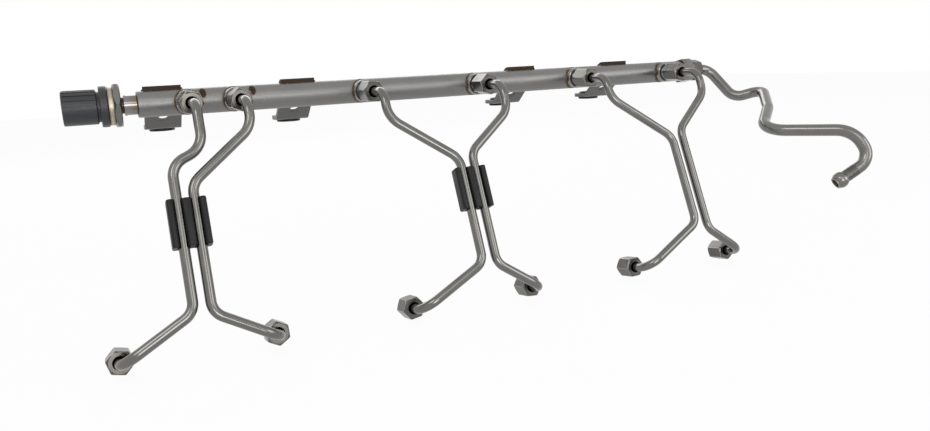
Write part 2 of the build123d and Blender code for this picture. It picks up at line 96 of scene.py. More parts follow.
# ---- settings ---------------------------------------------------------------------------
class FinishSettings(bpy.types.PropertyGroup):
    steel: bpy.props.FloatVectorProperty(
        name="Rail steel", description="Colour of the drawn rail tube", subtype="COLOR",
        default=(0.2, 0.197, 0.191), min=0, max=1)
    pipe_steel: bpy.props.FloatVectorProperty(
        name="Pipe steel", description="Colour of the bent pipes", subtype="COLOR",
        default=(0.16, 0.157, 0.148), min=0, max=1)
    nut_steel: bpy.props.FloatVectorProperty(
        name="Nut steel", description="Colour of the union nuts", subtype="COLOR",
        default=(0.11, 0.104, 0.094), min=0, max=1)
    dark_steel: bpy.props.FloatVectorProperty(
        name="Dark steel", description="Colour of the feed nut", subtype="COLOR",
        default=(0.06, 0.054, 0.048), min=0, max=1)
    # Heat scale brown; the same colour is also laid as painted shade in the nipple's bore and at
    # the crimp ring's edges.
    scale_brown_and_painted_shade: bpy.props.FloatVectorProperty(
        name="Heat scale and painted shade", description="Brown that brazing leaves on the steel",
        subtype="COLOR", default=(0.03, 0.019, 0.013), min=0, max=1)
    straw: bpy.props.FloatVectorProperty(
        name="Straw tint", description="Pale gold at the edge of the heated zones",
        subtype="COLOR", default=(0.19, 0.15, 0.108), min=0, max=1)
    rubber: bpy.props.FloatVectorProperty(
        name="Rubber", description="Colour of bushes and damper blocks", subtype="COLOR",
        default=(0.0025, 0.0025, 0.003), min=0, max=1)
    plastic: bpy.props.FloatVectorProperty(
        name="Sensor plastic", description="Colour of the sensor housing", subtype="COLOR",
        default=(0.017, 0.0178, 0.0205), min=0, max=1)
    plating: bpy.props.FloatVectorProperty(
        name="Crimp plating", description="Colour of the crimp ring", subtype="COLOR",
        default=(0.42, 0.37, 0.3), min=0, max=1)


class DetailSettings(bpy.types.PropertyGroup):
    thread_pitch: bpy.props.FloatProperty(
        name="Thread pitch", description="Pitch of the M12 union threads", default=1.5 * MM,
        unit="LENGTH", precision=5)
    bead: bpy.props.FloatProperty(
        name="Braze bead", description="Radius of the filler beads", default=0.75 * MM,
        unit="LENGTH", precision=5)
    edge_round: bpy.props.FloatProperty(
        name="Rubber edge", description="Rounding of moulded rubber edges",
        default=0.9 * MM, unit="LENGTH", precision=5)


class StageSettings(bpy.types.PropertyGroup):
    floor: bpy.props.FloatVectorProperty(
        name="Floor", description="Colour of floor and backdrop", subtype="COLOR",
        default=(0.95, 0.95, 0.95), min=0, max=1)
    front: bpy.props.FloatProperty(
        name="Front light", description="Power of the soft light low in front", default=5.0,
        unit="POWER")
    high: bpy.props.FloatProperty(
        name="High light", description="Power of the soft light high in front", default=2.0,
        unit="POWER")
    left: bpy.props.FloatProperty(
        name="Left light", description="Power of the soft light high on the left", default=3.6,
        unit="POWER")
    right: bpy.props.FloatProperty(
        name="Right light", description="Power of the soft light on the right", default=5.2,
        unit="POWER")
    back: bpy.props.FloatProperty(
        name="Back light", description="Power of the soft light behind", default=5.6,
        unit="POWER")
    ambient: bpy.props.FloatProperty(
        name="Ambient", description="Strength of the soft light from all round", default=0.55)
    focal: bpy.props.FloatProperty(
        name="Focal length", description="Lens on a 36 mm wide sensor, in millimetres",
        default=30.37)


# ---- mesh helpers -------------------------------------------------------------------------
def mesh_from_grid(name, grid, close_v=False, caps=False):
    """Quad mesh over a (v, u, 3) grid of points; u runs round and closes, v runs along.

    Each quad joins points (i, j), (i, j+1), (i+1, j+1), (i+1, j); caps close the two ends
    with one polygon each."""
    ids = np.arange(grid.shape[0] * grid.shape[1]).reshape(grid.shape[:2])
    rows = np.vstack([ids, ids[:1]]) if close_v else ids
    cols = np.hstack([rows, rows[:, :1]])
    quads = np.stack([cols[:-1, :-1], cols[:-1, 1:], cols[1:, 1:], cols[1:, :-1]], -1)
    faces = quads.reshape(-1, 4).tolist()
    if caps:
        faces += [ids[0][::-1].tolist(), ids[-1].tolist()]
    mesh = bpy.data.meshes.new(name)
    mesh.from_pydata(grid.reshape(-1, 3).tolist(), [], faces)
    return mesh


def mark_wear_and_painted_light(mesh, wear_and_painted_light):
    """Store per point, 0 to 1, how much of the second colour it takes: worn nut edges with a
    painted highlight, painted shade in ring grooves.
    """
    attribute = mesh.attributes.new("wear_and_painted_light", "FLOAT", "POINT")
    attribute.data.foreach_set("value", np.ascontiguousarray(wear_and_painted_light, dtype=np.float32).ravel())


def finish_mesh(name, mesh, material, body, replaces=(), sharp=35.0):
    """Merge poles and seams, turn faces outwards, and hand the piece to its body."""
    work = bmesh.new()
    work.from_mesh(mesh)
    bmesh.ops.remove_doubles(work, verts=work.verts, dist=1e-6)
    bmesh.ops.recalc_face_normals(work, faces=work.faces)
    work.to_mesh(mesh)
    work.free()
    mesh.polygons.foreach_set("use_smooth", np.full(len(mesh.polygons), True))
    piece = bpy.data.objects.new(name, mesh)
    bpy.context.scene.collection.objects.link(piece)
    mesh.materials.append(material)
    mesh.set_sharp_from_angle(angle=radians(sharp))
    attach(piece, body)
    if replaces:
        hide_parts(*replaces)
    return piece


def axis_frame(direction):
    """Three unit vectors: side, up and the direction itself."""
    z = np.array(direction, float)
    z = z / np.linalg.norm(z)
    side = np.array([1.0, 0, 0]) if abs(z[0]) < 0.9 else np.array([0, 1.0, 0])
    x = side - z * side.dot(z)
    x = x / np.linalg.norm(x)
    return x, np.cross(z, x), z


def turned_grid(radius, height, origin, direction, steps=72):
    """Surface of revolution: point = origin + r(cos a, sin a) + h along the direction."""
    x, y, z = axis_frame(direction)
    a = np.linspace(0, 2 * pi, steps, endpoint=False)
    ring = np.cos(a)[:, None] * x + np.sin(a)[:, None] * y
    r = np.asarray(radius, float)[:, None, None]
    h = np.asarray(height, float)[:, None, None]
    return np.asarray(origin) + r * ring[None] + h * z


def thread_grid(crest, root, low, high, pitch, origin, direction, steps=72, per_turn=8):
    """Helical thread: r = root + depth times a triangle wave of (h / pitch - a / 2 pi).

    The depth fades to nothing over the last half turn at each end."""
    x, y, z = axis_frame(direction)
    a = np.linspace(0, 2 * pi, steps, endpoint=False)
    h = np.linspace(low, high, int((high - low) / pitch * per_turn) + 1)
    wave = np.abs(((h[:, None] / pitch - a[None] / (2 * pi)) % 1) * 2 - 1)
    wave = np.clip(wave * 1.25 - 0.1, 0, 1)
    fade = np.clip(np.minimum(h - low, high - h) / (0.5 * pitch), 0, 1)[:, None]
    r = crest + (root - crest) * (1 - wave) * fade
    ring = np.cos(a)[:, None] * x + np.sin(a)[:, None] * y
    return np.asarray(origin) + r[..., None] * ring[None] + h[:, None, None] * z


def arc(cx, cy, r, start, end, steps=10):
    """Points of a circular arc from one angle to another, in degrees."""
    a = np.radians(np.linspace(start, end, steps))
    return np.stack([cx + r * np.cos(a), cy + r * np.sin(a)], -1)


def tube_grid(path, radius, steps=12):
    """Round tube along points: each ring stands square to the path's own direction."""
    path = np.asarray(path, float)
    along = np.gradient(path, axis=0)
    along /= np.linalg.norm(along, axis=1)[:, None]
    guide = np.array([0.31, 0.52, 0.79])
    side = np.cross(along, guide)
    side /= np.linalg.norm(side, axis=1)[:, None]
    up = np.cross(along, side)
    a = np.linspace(0, 2 * pi, steps, endpoint=False)
    r = np.broadcast_to(np.asarray(radius, float), (len(path),))[:, None, None]
    ring = np.cos(a)[None, :, None] * side[:, None] + np.sin(a)[None, :, None] * up[:, None]
    return path[:, None] + r * ring


# ---- shader helpers ---------------------------------------------------------------------------
def new_group(name, inputs, outputs):
    """Empty shader group with named sockets."""
    group = bpy.data.node_groups.new(name, "ShaderNodeTree")
    kinds = {"f": "NodeSocketFloat", "c": "NodeSocketColor", "v": "NodeSocketVector"}
    for label, kind, value in inputs:
        socket = group.interface.new_socket(label, in_out="INPUT", socket_type=kinds[kind])
        socket.default_value = value
    for label, kind in outputs:
        group.interface.new_socket(label, in_out="OUTPUT", socket_type=kinds[kind])
    return group, group.nodes.new("NodeGroupInput"), group.nodes.new("NodeGroupOutput")


def add(tree, kind, settings=None, **values):
    """New node; settings are its attributes, values its unlinked or linked inputs."""
    node = tree.nodes.new(kind)
    for key, value in (settings or {}).items():
        setattr(node, key, value)
    for key, value in values.items():
        name = int(key[1:]) if key[0] == "i" and key[1:].isdigit() else key.replace("_", " ")
        socket = node.inputs[name]
        if isinstance(value, bpy.types.NodeSocket):
            tree.links.new(value, socket)
        else:
            socket.default_value = value
    return node


def math(tree, operation, a, b=0.0, clamp=False):
    """Math node's output."""
    node = add(tree, "ShaderNodeMath", {"operation": operation, "use_clamp": clamp}, i0=a, i1=b)
    return node.outputs[0]


def blend(tree, factor, a, b, mode="MIX"):
    """Colour mix's output."""
    node = tree.nodes.new("ShaderNodeMix")
    node.data_type = "RGBA"
    node.blend_type = mode
    for index, value in ((0, factor), (6, a), (7, b)):
        if isinstance(value, bpy.types.NodeSocket):
            tree.links.new(value, node.inputs[index])
        else:
            node.inputs[index].default_value = value
    return node.outputs[2]


def remap(tree, value, low, high):
    """Smooth map from a range to 0 to 1."""
    node = add(tree, "ShaderNodeMapRange", {"interpolation_type": "SMOOTHSTEP"}, i0=value,
               i1=low, i2=high, i3=0.0, i4=1.0)
    return node.outputs[0]


def rgba(colour):
    """Colour with full alpha."""
    return tuple(colour) + (1.0,)


def shade(colour, share):
    """Colour multiplied by a share."""
    return [share * channel for channel in colour]


def build_metal_grain():
    """Metal surface: stretched streaks, soft blotches and fine pitting."""
    group, gin, gout = new_group(
        "Metal grain",
        [("Colour", "c", (0.5, 0.5, 0.5, 1)), ("Stretch", "v", (300, 300, 300)),
         ("Streak", "f", 0.2), ("Blotch", "f", 0.2), ("Roughness", "f", 0.3)],
        [("Colour", "c"), ("Roughness", "f"), ("Height", "f")])
    where = add(group, "ShaderNodeTexCoord").outputs["Object"]
    stretched = add(group, "ShaderNodeVectorMath", {"operation": "MULTIPLY"}, i0=where,
                    i1=gin.outputs["Stretch"]).outputs[0]
    streak = add(group, "ShaderNodeTexNoise", Vector=stretched, Scale=1.0, Detail=4.0,
                 Roughness=0.6).outputs[0]
    blotch = add(group, "ShaderNodeTexNoise", Vector=where, Scale=95.0, Detail=3.0,
                 Roughness=0.55).outputs[0]
    fine = add(group, "ShaderNodeTexNoise", Vector=where, Scale=1400.0, Detail=2.0).outputs[0]
    streak_amount = math(group, "MULTIPLY", math(group, "SUBTRACT", streak, 0.5),
                         gin.outputs["Streak"])
    blotch_amount = math(group, "MULTIPLY", math(group, "SUBTRACT", blotch, 0.5),
                         gin.outputs["Blotch"])
    level = math(group, "ADD", 1.0, math(group, "ADD", streak_amount, blotch_amount))
    grey = add(group, "ShaderNodeCombineXYZ", X=level, Y=level, Z=level).outputs[0]
    colour = blend(group, 1.0, gin.outputs["Colour"], grey, "MULTIPLY")
    rough = math(group, "ADD", gin.outputs["Roughness"], math(
        group, "ADD", math(group, "MULTIPLY", streak_amount, 0.5),
        math(group, "MULTIPLY", blotch_amount, 0.9)), True)
    height = math(group, "ADD", math(group, "MULTIPLY", fine, 0.5), streak)
    group.links.new(colour, gout.inputs["Colour"])
    group.links.new(rough, gout.inputs["Roughness"])
    group.links.new(height, gout.inputs["Height"])
    return group


def build_heat_tint_and_painted_shade():
    """Colours by distance from a place: brown, then straw, then bare: heat scale at brazed places,
    painted shade in the nipple's bore and at the crimp ring's edges, a dark band on the sensor's
    neck.
    """
    group, gin, gout = new_group(
        "Heat tint and painted shade",
        [("Colour", "c", (0.5, 0.5, 0.5, 1)), ("Scale colour", "c", (0.1, 0.07, 0.05, 1)),
         ("Straw colour", "c", (0.5, 0.4, 0.3, 1)), ("Distance", "f", 1.0),
         ("Scale reach", "f", 0.002), ("Straw reach", "f", 0.006), ("Ragged", "f", 0.002)],
        [("Colour", "c"), ("Mask", "f")])
    where = add(group, "ShaderNodeTexCoord").outputs["Object"]
    ragged = add(group, "ShaderNodeTexNoise", Vector=where, Scale=420.0, Detail=4.0,
                 Roughness=0.65).outputs[0]
    shift = math(group, "MULTIPLY", math(group, "SUBTRACT", ragged, 0.5),
                 gin.outputs["Ragged"])
    distance = math(group, "ADD", gin.outputs["Distance"], shift)
    straw = remap(group, distance, gin.outputs["Straw reach"], gin.outputs["Scale reach"])
    scale = remap(group, distance, gin.outputs["Scale reach"], 0.0)
    tinted = blend(group, math(group, "MULTIPLY", straw, 0.75), gin.outputs["Colour"],
                   gin.outputs["Straw colour"])
    tinted = blend(group, math(group, "MULTIPLY", scale, 0.9), tinted,
                   gin.outputs["Scale colour"])
    group.links.new(tinted, gout.inputs["Colour"])
    group.links.new(scale, gout.inputs["Mask"])
    return group


GROUPS = {}
MATERIALS = {}


def shader_group(name):
    """One of the shared effects, built at its first use."""
    builders = {"Metal grain": build_metal_grain, "Heat tint and painted shade": build_heat_tint_and_painted_shade}
    if name not in GROUPS:
        GROUPS[name] = builders[name]()
    return GROUPS[name]


def new_material(name):
    """Material with a Principled shader; returns material, tree and shader."""
    material = bpy.data.materials.new(name)
    material.use_nodes = True
    tree = material.node_tree
    shader = tree.nodes["Principled BSDF"]
    MATERIALS[name] = material
    return material, tree, shader


def metal(name, colour, roughness, streak=0.2, blotch=0.2, stretch=(300, 300, 300),
          bump=0.00004, tint=None, rough_tint=0.0, wear_and_painted_light_colour=None):
    """Metal finish; tint builds the distance socket for the heat colours and painted shade, and
    the last argument is the colour where the point attribute is 1: worn nut edges with a painted
    highlight, painted shade in ring grooves."""
    look = bpy.context.scene.rail_finish
    material, tree, shader = new_material(name)
    shader.inputs["Metallic"].default_value = 1.0
    grain = add(tree, "ShaderNodeGroup", {"node_tree": shader_group("Metal grain")},
                Stretch=stretch, Streak=streak, Blotch=blotch, Roughness=roughness)
    rough = grain.outputs["Roughness"]
    # The tint function's distance lays heat colours at brazed places, and painted shade in a bore
    # and at ring edges.
    if tint:
        distance, scale_reach, straw_reach, ragged = tint(tree)
        heat_and_shade = add(tree, "ShaderNodeGroup", {"node_tree": shader_group("Heat tint and painted shade")},
                   Colour=rgba(colour), Scale_colour=rgba(look.scale_brown_and_painted_shade),
                   Straw_colour=rgba(look.straw), Scale_reach=scale_reach,
                   Straw_reach=straw_reach, Ragged=ragged, Distance=distance)
        tree.links.new(heat_and_shade.outputs["Colour"], grain.inputs["Colour"])
        rough = math(tree, "ADD", rough, math(tree, "MULTIPLY", heat_and_shade.outputs["Mask"],
                                              rough_tint), True)
    # Second colour from the mesh's point attribute: worn nut edges with a painted highlight,
    # painted shade in the feed pipe's ring grooves.
    elif wear_and_painted_light_colour:
        wear_and_painted_light = tree.nodes.new("ShaderNodeAttribute")
        wear_and_painted_light.attribute_name = "wear_and_painted_light"
        tree.links.new(blend(tree, wear_and_painted_light.outputs["Fac"], rgba(colour), rgba(wear_and_painted_light_colour)),
                       grain.inputs["Colour"])
    else:
        grain.inputs["Colour"].default_value = rgba(colour)
    tree.links.new(grain.outputs["Colour"], shader.inputs["Base Color"])
    tree.links.new(rough, shader.inputs["Roughness"])
    relief = add(tree, "ShaderNodeBump", Strength=0.5, Distance=bump,
                 Height=grain.outputs["Height"])
    tree.links.new(relief.outputs[0], shader.inputs["Normal"])
    return material


def moulded(name, colour, roughness, blotch=0.3, scale=700.0, bump=0.00005, sheen_mark=0.03,
            specular=0.5):
    """Moulded rubber or plastic: dull, with a fine grain and faint pale scuffs."""
    material, tree, shader = new_material(name)
    shader.inputs["Specular IOR Level"].default_value = specular
    where = add(tree, "ShaderNodeTexCoord").outputs["Object"]
    soft = add(tree, "ShaderNodeTexNoise", Vector=where, Scale=160.0, Detail=4.0).outputs[0]
    fine = add(tree, "ShaderNodeTexNoise", Vector=where, Scale=scale, Detail=3.0).outputs[0]
    scuff = remap(tree, soft, 0.52, 0.75)
    pale = tuple(min(1.0, c + sheen_mark) for c in colour)
    colour_out = blend(tree, math(tree, "MULTIPLY", scuff, blotch), rgba(colour), rgba(pale))
    rough = math(tree, "ADD", roughness, math(
        tree, "MULTIPLY", math(tree, "SUBTRACT", soft, 0.5), 0.25), True)
    tree.links.new(colour_out, shader.inputs["Base Color"])
    tree.links.new(rough, shader.inputs["Roughness"])
    relief = add(tree, "ShaderNodeBump", Strength=0.6, Distance=bump, Height=fine)
    tree.links.new(relief.outputs[0], shader.inputs["Normal"])
    return material


# ---- where the heat tint and the painted shade lie ---------------------------------------------
def coordinate(tree, axis):
    """One object coordinate, in metres."""
    where = add(tree, "ShaderNodeTexCoord").outputs["Object"]
    return add(tree, "ShaderNodeSeparateXYZ", Vector=where).outputs[axis]


def nearest_x(tree, places):
    """Distance along X to the nearest of some places."""
    x = coordinate(tree, 0)
    best = None
    for place in places:
        away = math(tree, "ABSOLUTE", math(tree, "SUBTRACT", x, place))
        best = away if best is None else math(tree, "MINIMUM", best, away)
    return best


def rail_tint(tree):
    """Brown round each collar, in a patch right of the first two, and behind at the saddles.

    Each part is a distance in metres: to a circle about the outlet's axis, to an upright
    ellipse above it, and along X to a saddle's edge; the least of them counts."""
    y, z = coordinate(tree, 1), coordinate(tree, 2)
    ring_radius = 8.3 * MM
    patch_x = [OUTLET_X[0] + 10.3 * MM, OUTLET_X[1] + 12.1 * MM]
    patch_rise, patch_radius, patch_squash = 5.2 * MM, 1.9 * MM, 0.7
    saddle_half, saddle_fade, saddle_front = 12.2 * MM, 0.6 * MM, 0.5 * MM
    rise = math(tree, "SUBTRACT", z, float(RAIL_MIDDLE[2]))
    behind = math(tree, "MAXIMUM", math(tree, "SUBTRACT", y, float(RAIL_MIDDLE[1])), 0.0)
    ring = math(tree, "SQRT", math(tree, "ADD", math(
        tree, "POWER", nearest_x(tree, OUTLET_X), 2.0), math(tree, "POWER", rise, 2.0)))
    ring = math(tree, "ADD", math(tree, "MAXIMUM", math(
        tree, "SUBTRACT", ring, ring_radius), 0.0), behind)
    up = math(tree, "MULTIPLY", math(tree, "SUBTRACT", rise, patch_rise), patch_squash)
    patch = math(tree, "SQRT", math(tree, "ADD", math(
        tree, "POWER", nearest_x(tree, patch_x), 2.0), math(tree, "POWER", up, 2.0)))
    patch = math(tree, "SUBTRACT", patch, patch_radius)
    edges = [place + side * saddle_half for place in BRACKET_X for side in (-1, 1)]
    front = math(tree, "SUBTRACT", float(RAIL_MIDDLE[1]) + saddle_front, y)
    front = math(tree, "MAXIMUM", front, 0.0)
    seams = math(tree, "ADD", math(tree, "ADD", nearest_x(tree, edges), saddle_fade), front)
    best = math(tree, "MINIMUM", math(tree, "MINIMUM", ring, patch), seams)
    return best, 0.5 * MM, 1.4 * MM, 1.0 * MM


def bracket_tint(tree):
    """Brown at the top edge of the saddle, full down to a little above the rail's crown."""
    top_rise, full = 2.8 * MM, 2.4 * MM
    top = float(RAIL_MIDDLE[2] + RAIL_RADIUS + top_rise)
    down = math(tree, "SUBTRACT", top, coordinate(tree, 2))
    down = math(tree, "SUBTRACT", down, full)
    return math(tree, "MAXIMUM", down, 0.0), 2.0 * MM, 5.5 * MM, 1.6 * MM


def collar_tint(tree):
    """Brown at the collars' feet on the rail."""
    front = float(RAIL_MIDDLE[1] - RAIL_RADIUS)
    away = math(tree, "SUBTRACT", front, coordinate(tree, 1))
    return math(tree, "MAXIMUM", away, 0.0), 0.7 * MM, 2.6 * MM, 1.2 * MM


def neck_tint(tree):
    """Dark band on the neck between the sensor's hexagon and its port."""
    neck_length = 2.3 * MM
    neck = float(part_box("sensor_port")[0][0]) - 1.0 * MM
    away = math(tree, "ABSOLUTE", math(tree, "SUBTRACT", coordinate(tree, 0), neck))
    away = math(tree, "SUBTRACT", away, neck_length / 2)
    return math(tree, "MAXIMUM", away, 0.0), 0.3 * MM, 0.5 * MM, 0.1 * MM


def nipple_bore_shade(tree):
    """Painted shade in the bore of the feed pipe's free nipple."""
    where = add(tree, "ShaderNodeTexCoord").outputs["Object"]
    dark_radius = 3.15 * MM
    away = add(tree, "ShaderNodeVectorMath", {"operation": "DISTANCE"}, i0=where, i1=FEED_TIP)
    away = math(tree, "SUBTRACT", away.outputs["Value"], dark_radius)
    return math(tree, "MAXIMUM", away, 0.0), 0.35 * MM, 0.5 * MM, 0.05 * MM


def crimp_edge_shade(tree):
    """Painted shade at the crimp ring's edges, beside the hexagon and under the collar."""
    low, high = (float(corner[0]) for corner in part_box("crimp_ring"))
    middle = low + 0.5 * (high - low)
    away = math(tree, "ABSOLUTE", math(tree, "SUBTRACT", coordinate(tree, 0), middle))
    away = math(tree, "SUBTRACT", 0.5 * (high - low), away)
    return math(tree, "MAXIMUM", away, 0.0), 0.45 * MM, 1.3 * MM, 0.25 * MM


def end_tint(tree):
    """Brown where the end fittings are brazed on."""
    ends = [float(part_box("rail_tube")[0][0]), float(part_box("rail_tube")[1][0])]
    return nearest_x(tree, ends), 0.6 * MM, 6.5 * MM, 1.0 * MM


# ---- operators ---------------------------------------------------------------------------------
class FUELRAIL_OT_finishes(bpy.types.Operator):
    """Make the finishes and put them on the rail's own solids"""
    bl_idname = "fuelrail.finishes"
    bl_label = "Finishes"

    def execute(self, context):
        look = context.scene.rail_finish
        polished, fine_bump = 0.000001, 0.00001
        polished_edge_highlight = (0.42, 0.41, 0.385)
        metal("Rail steel", look.steel, 0.42, 0.12, 0.25, (14, 500, 500), fine_bump,
              tint=rail_tint, rough_tint=0.15)
        metal("Bracket steel", shade(look.steel, 0.58), 0.38, 0.2, 0.3, (500, 90, 90),
              tint=bracket_tint, rough_tint=0.2)
        metal("Collar steel", shade(look.steel, 1.1), 0.22, 0.15, 0.3, (120, 900, 120),
              fine_bump, tint=collar_tint, rough_tint=0.2)
        metal("Fitting steel", shade(look.steel, 1.1), 0.17, 0.15, 0.3, (900, 120, 120),
              fine_bump, tint=end_tint, rough_tint=0.2)
        metal("Pipe steel", look.pipe_steel, 0.19, 0.12, 0.3, (260, 260, 120), polished)
        # The feed pipe's nipple bore gets painted shade from its tint.
        metal("Feed steel", shade(look.pipe_steel, 1.08), 0.21, 0.12, 0.3, (120, 120, 160),
              2 * polished, tint=nipple_bore_shade)
        # The nuts' edges, the feed nut's too, take a bright colour: polished wear with a painted
        # highlight.
        metal("Nut steel", look.nut_steel, 0.26, 0.25, 0.5, bump=fine_bump, wear_and_painted_light_colour=polished_edge_highlight)
        metal("Dark nut steel", look.dark_steel, 0.3, 0.35, 0.6, bump=2 * fine_bump,
              wear_and_painted_light_colour=shade(polished_edge_highlight, 0.35))
        # The feed pipe's ring grooves take the dark feed-nut colour as painted shade.
        metal("Ringed steel", shade(look.pipe_steel, 1.08), 0.25, 0.12, 0.3, (120, 120, 160),
              6 * polished, wear_and_painted_light_colour=look.dark_steel)
        metal("Sleeve steel", look.steel, 0.35, 0.2, 0.3)
        metal("Sensor steel", shade(look.steel, 0.9), 0.28, 0.25, 0.2, (60, 800, 800),
              fine_bump, tint=neck_tint)
        # The crimp ring's edges take painted shade from its tint.
        metal("Crimp plating", look.plating, 0.38, 0.15, 0.25, (500, 120, 120), fine_bump,
              tint=crimp_edge_shade)
        metal("Tinned brass", (0.62, 0.58, 0.48), 0.3)
        moulded("Moulded rubber", look.rubber, 0.42, sheen_mark=0.008, specular=0.3)
        moulded("Moulded plastic", look.plastic, 0.42, blotch=0.25, scale=900.0, bump=0.00003)
        cylinders, brackets = range(1, CYLINDERS + 1), range(1, BRACKETS + 1)
        uses = {
            "Rail steel": ["rail_tube"],
            "Bracket steel": [f"bracket_{i}" for i in brackets],
            "Collar steel": [f"outlet_{i}" for i in cylinders],
            "Fitting steel": ["sensor_port", "feed_fitting"],
            "Pipe steel": [f"injector_pipe_{i}" for i in cylinders],
            "Feed steel": ["feed_pipe"],
            "Nut steel": [f"{end}_nut_{i}" for end in ("rail", "injector")
                          for i in cylinders],
            "Dark nut steel": ["feed_nut"],
            "Sleeve steel": [f"bush_sleeve_{i}" for i in brackets],
            "Sensor steel": ["sensor_body"],
            "Crimp plating": ["crimp_ring"],
            "Tinned brass": [f"sensor_terminal_{i}" for i in range(1, 4)],
            "Moulded rubber": ["sensor_seal", "damper_1", "damper_2"]
            + [f"bracket_bush_{i}" for i in brackets],
            "Moulded plastic": ["sensor_housing"],
        }
        for name, nodes in uses.items():
            for node in nodes:
                mesh = NODES[node].data
                mesh.materials.clear()
                mesh.materials.append(MATERIALS[name])
        return {"FINISHED"}


class FUELRAIL_OT_outlets(bpy.types.Operator):
    """Turn the brazed outlet collars with their threaded spigots"""
    bl_idname = "fuelrail.outlets"
    bl_label = "Outlets"

    def execute(self, context):
        pitch = context.scene.rail_details.thread_pitch
        crest, root, thread_start = 5.95 * MM, 5.2 * MM, 13.6 * MM
        for i, x in enumerate(OUTLET_X):
            origin = (x, RAIL_MIDDLE[1], RAIL_MIDDLE[2])
            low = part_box(f"outlet_{i + 1}")[0]
            tip = RAIL_MIDDLE[1] - low[1]
            radius = np.array([COLLAR_RADIUS / MM, COLLAR_RADIUS / MM, 7.9, 7.35, 5.35, 5.35]) * MM
            height = np.array([2.0, 12.2, 12.5, 13.0, 13.0, 13.6]) * MM
            collar = turned_grid(radius, height, origin, (0, -1, 0))
            thread = thread_grid(crest, root, thread_start, tip, pitch, origin, (0, -1, 0))
            seat = turned_grid(np.array([5.2, 4.9, 1.6, 1.5, 1.5, 0.0]) * MM,
                               np.array([0, 0, -5.7, -5.8, -9.0, -9.0]) * MM + tip, origin,
                               (0, -1, 0))
            grid = np.concatenate([collar, thread, seat])
            base = np.broadcast_to(np.array([x, RAIL_MIDDLE[1] - 2 * MM, RAIL_MIDDLE[2]]),
                                   grid[:1].shape)
            mesh = mesh_from_grid(f"outlet_collar_{i + 1}", np.concatenate([base, grid]))
            finish_mesh(f"outlet_collar_{i + 1}", mesh, MATERIALS["Collar steel"], "rail",
                        (f"outlet_{i + 1}",))
        return {"FINISHED"}


class FUELRAIL_OT_beads(bpy.types.Operator):
    """Run filler beads round the outlet collars and along the bracket edges.

    A collar's path is where a cylinder meets the rail: y = -sqrt(rail radius^2 - z^2). A
    saddle's is an arc over the rail's upper back. Sums of sines, and random draws at the saddles,
    vary the bead's radius"""
    bl_idname = "fuelrail.beads"
    bl_label = "Braze beads"

    def execute(self, context):
        bead = context.scene.rail_details.bead
        look = context.scene.rail_finish
        metal("Braze filler", shade(look.straw, 0.5), 0.38, 0.4, 0.9, bump=0.0002)
        rng = np.random.default_rng(7)
        collar_share = 0.75
        y0, z0 = RAIL_MIDDLE[1], RAIL_MIDDLE[2]
        angle = np.linspace(0, 2 * pi, 96, endpoint=False)
        side, up = COLLAR_RADIUS * np.cos(angle), COLLAR_RADIUS * np.sin(angle)
        depth = np.sqrt(np.maximum(RAIL_RADIUS ** 2 - up ** 2, 0))
        for i, x in enumerate(OUTLET_X):
            path = np.stack([x + side, y0 - depth, z0 + up], -1)
            wave = 1 + 0.22 * np.sin(angle * 7 + i) + 0.12 * np.sin(angle * 17 + 2 * i)
            closed = np.concatenate([path[-2:], path, path[:2]])
            grid = tube_grid(closed, 1.0)
            grid = closed[:, None] + (grid - closed[:, None]) * bead * collar_share
            grid = grid[2:-2]
            grid = path[:, None] + (grid - path[:, None]) * wave[:, None, None]
            mesh = mesh_from_grid(f"collar_bead_{i + 1}", grid, close_v=True)
            finish_mesh(f"collar_bead_{i + 1}", mesh, MATERIALS["Braze filler"], "rail")
        for i, x in enumerate(BRACKET_X):
            for k, hand in enumerate((-1, 1)):
                a = np.radians(np.linspace(2, 91, 70))
                reach = RAIL_RADIUS + 0.25 * MM
                path = np.stack([np.full_like(a, x + hand * BRACKET_HALF),
                                 y0 + reach * np.cos(a), z0 + reach * np.sin(a)], -1)
                wave = 1 + 0.2 * np.sin(a * 34 + k) + 0.15 * rng.standard_normal(len(a))
                ends = np.clip(np.minimum(a - a[0], a[-1] - a) / 0.06, 0.02, 1) ** 0.5
                mesh = mesh_from_grid(f"saddle_bead_{i + 1}_{k + 1}",
                                      tube_grid(path, bead * wave * ends), caps=True)
                finish_mesh(f"saddle_bead_{i + 1}_{k + 1}", mesh, MATERIALS["Braze filler"],
                            "rail")
        return {"FINISHED"}


def corner_angle(node, origin, direction):
    """Angle of a hexagon's corner about an axis, from the vertices furthest out."""
    mesh = NODES[node].data
    points = np.empty(len(mesh.vertices) * 3)
    mesh.vertices.foreach_get("co", points)
    points = points.reshape(-1, 3) - np.asarray(origin)
    x, y, _ = axis_frame(direction)
    across, up = points @ x, points @ y
    reach = np.hypot(across, up)
    far = reach > reach.max() * 0.99
    turn = np.exp(6j * np.arctan2(up[far], across[far])).mean()
    return float(np.angle(turn)) / 6


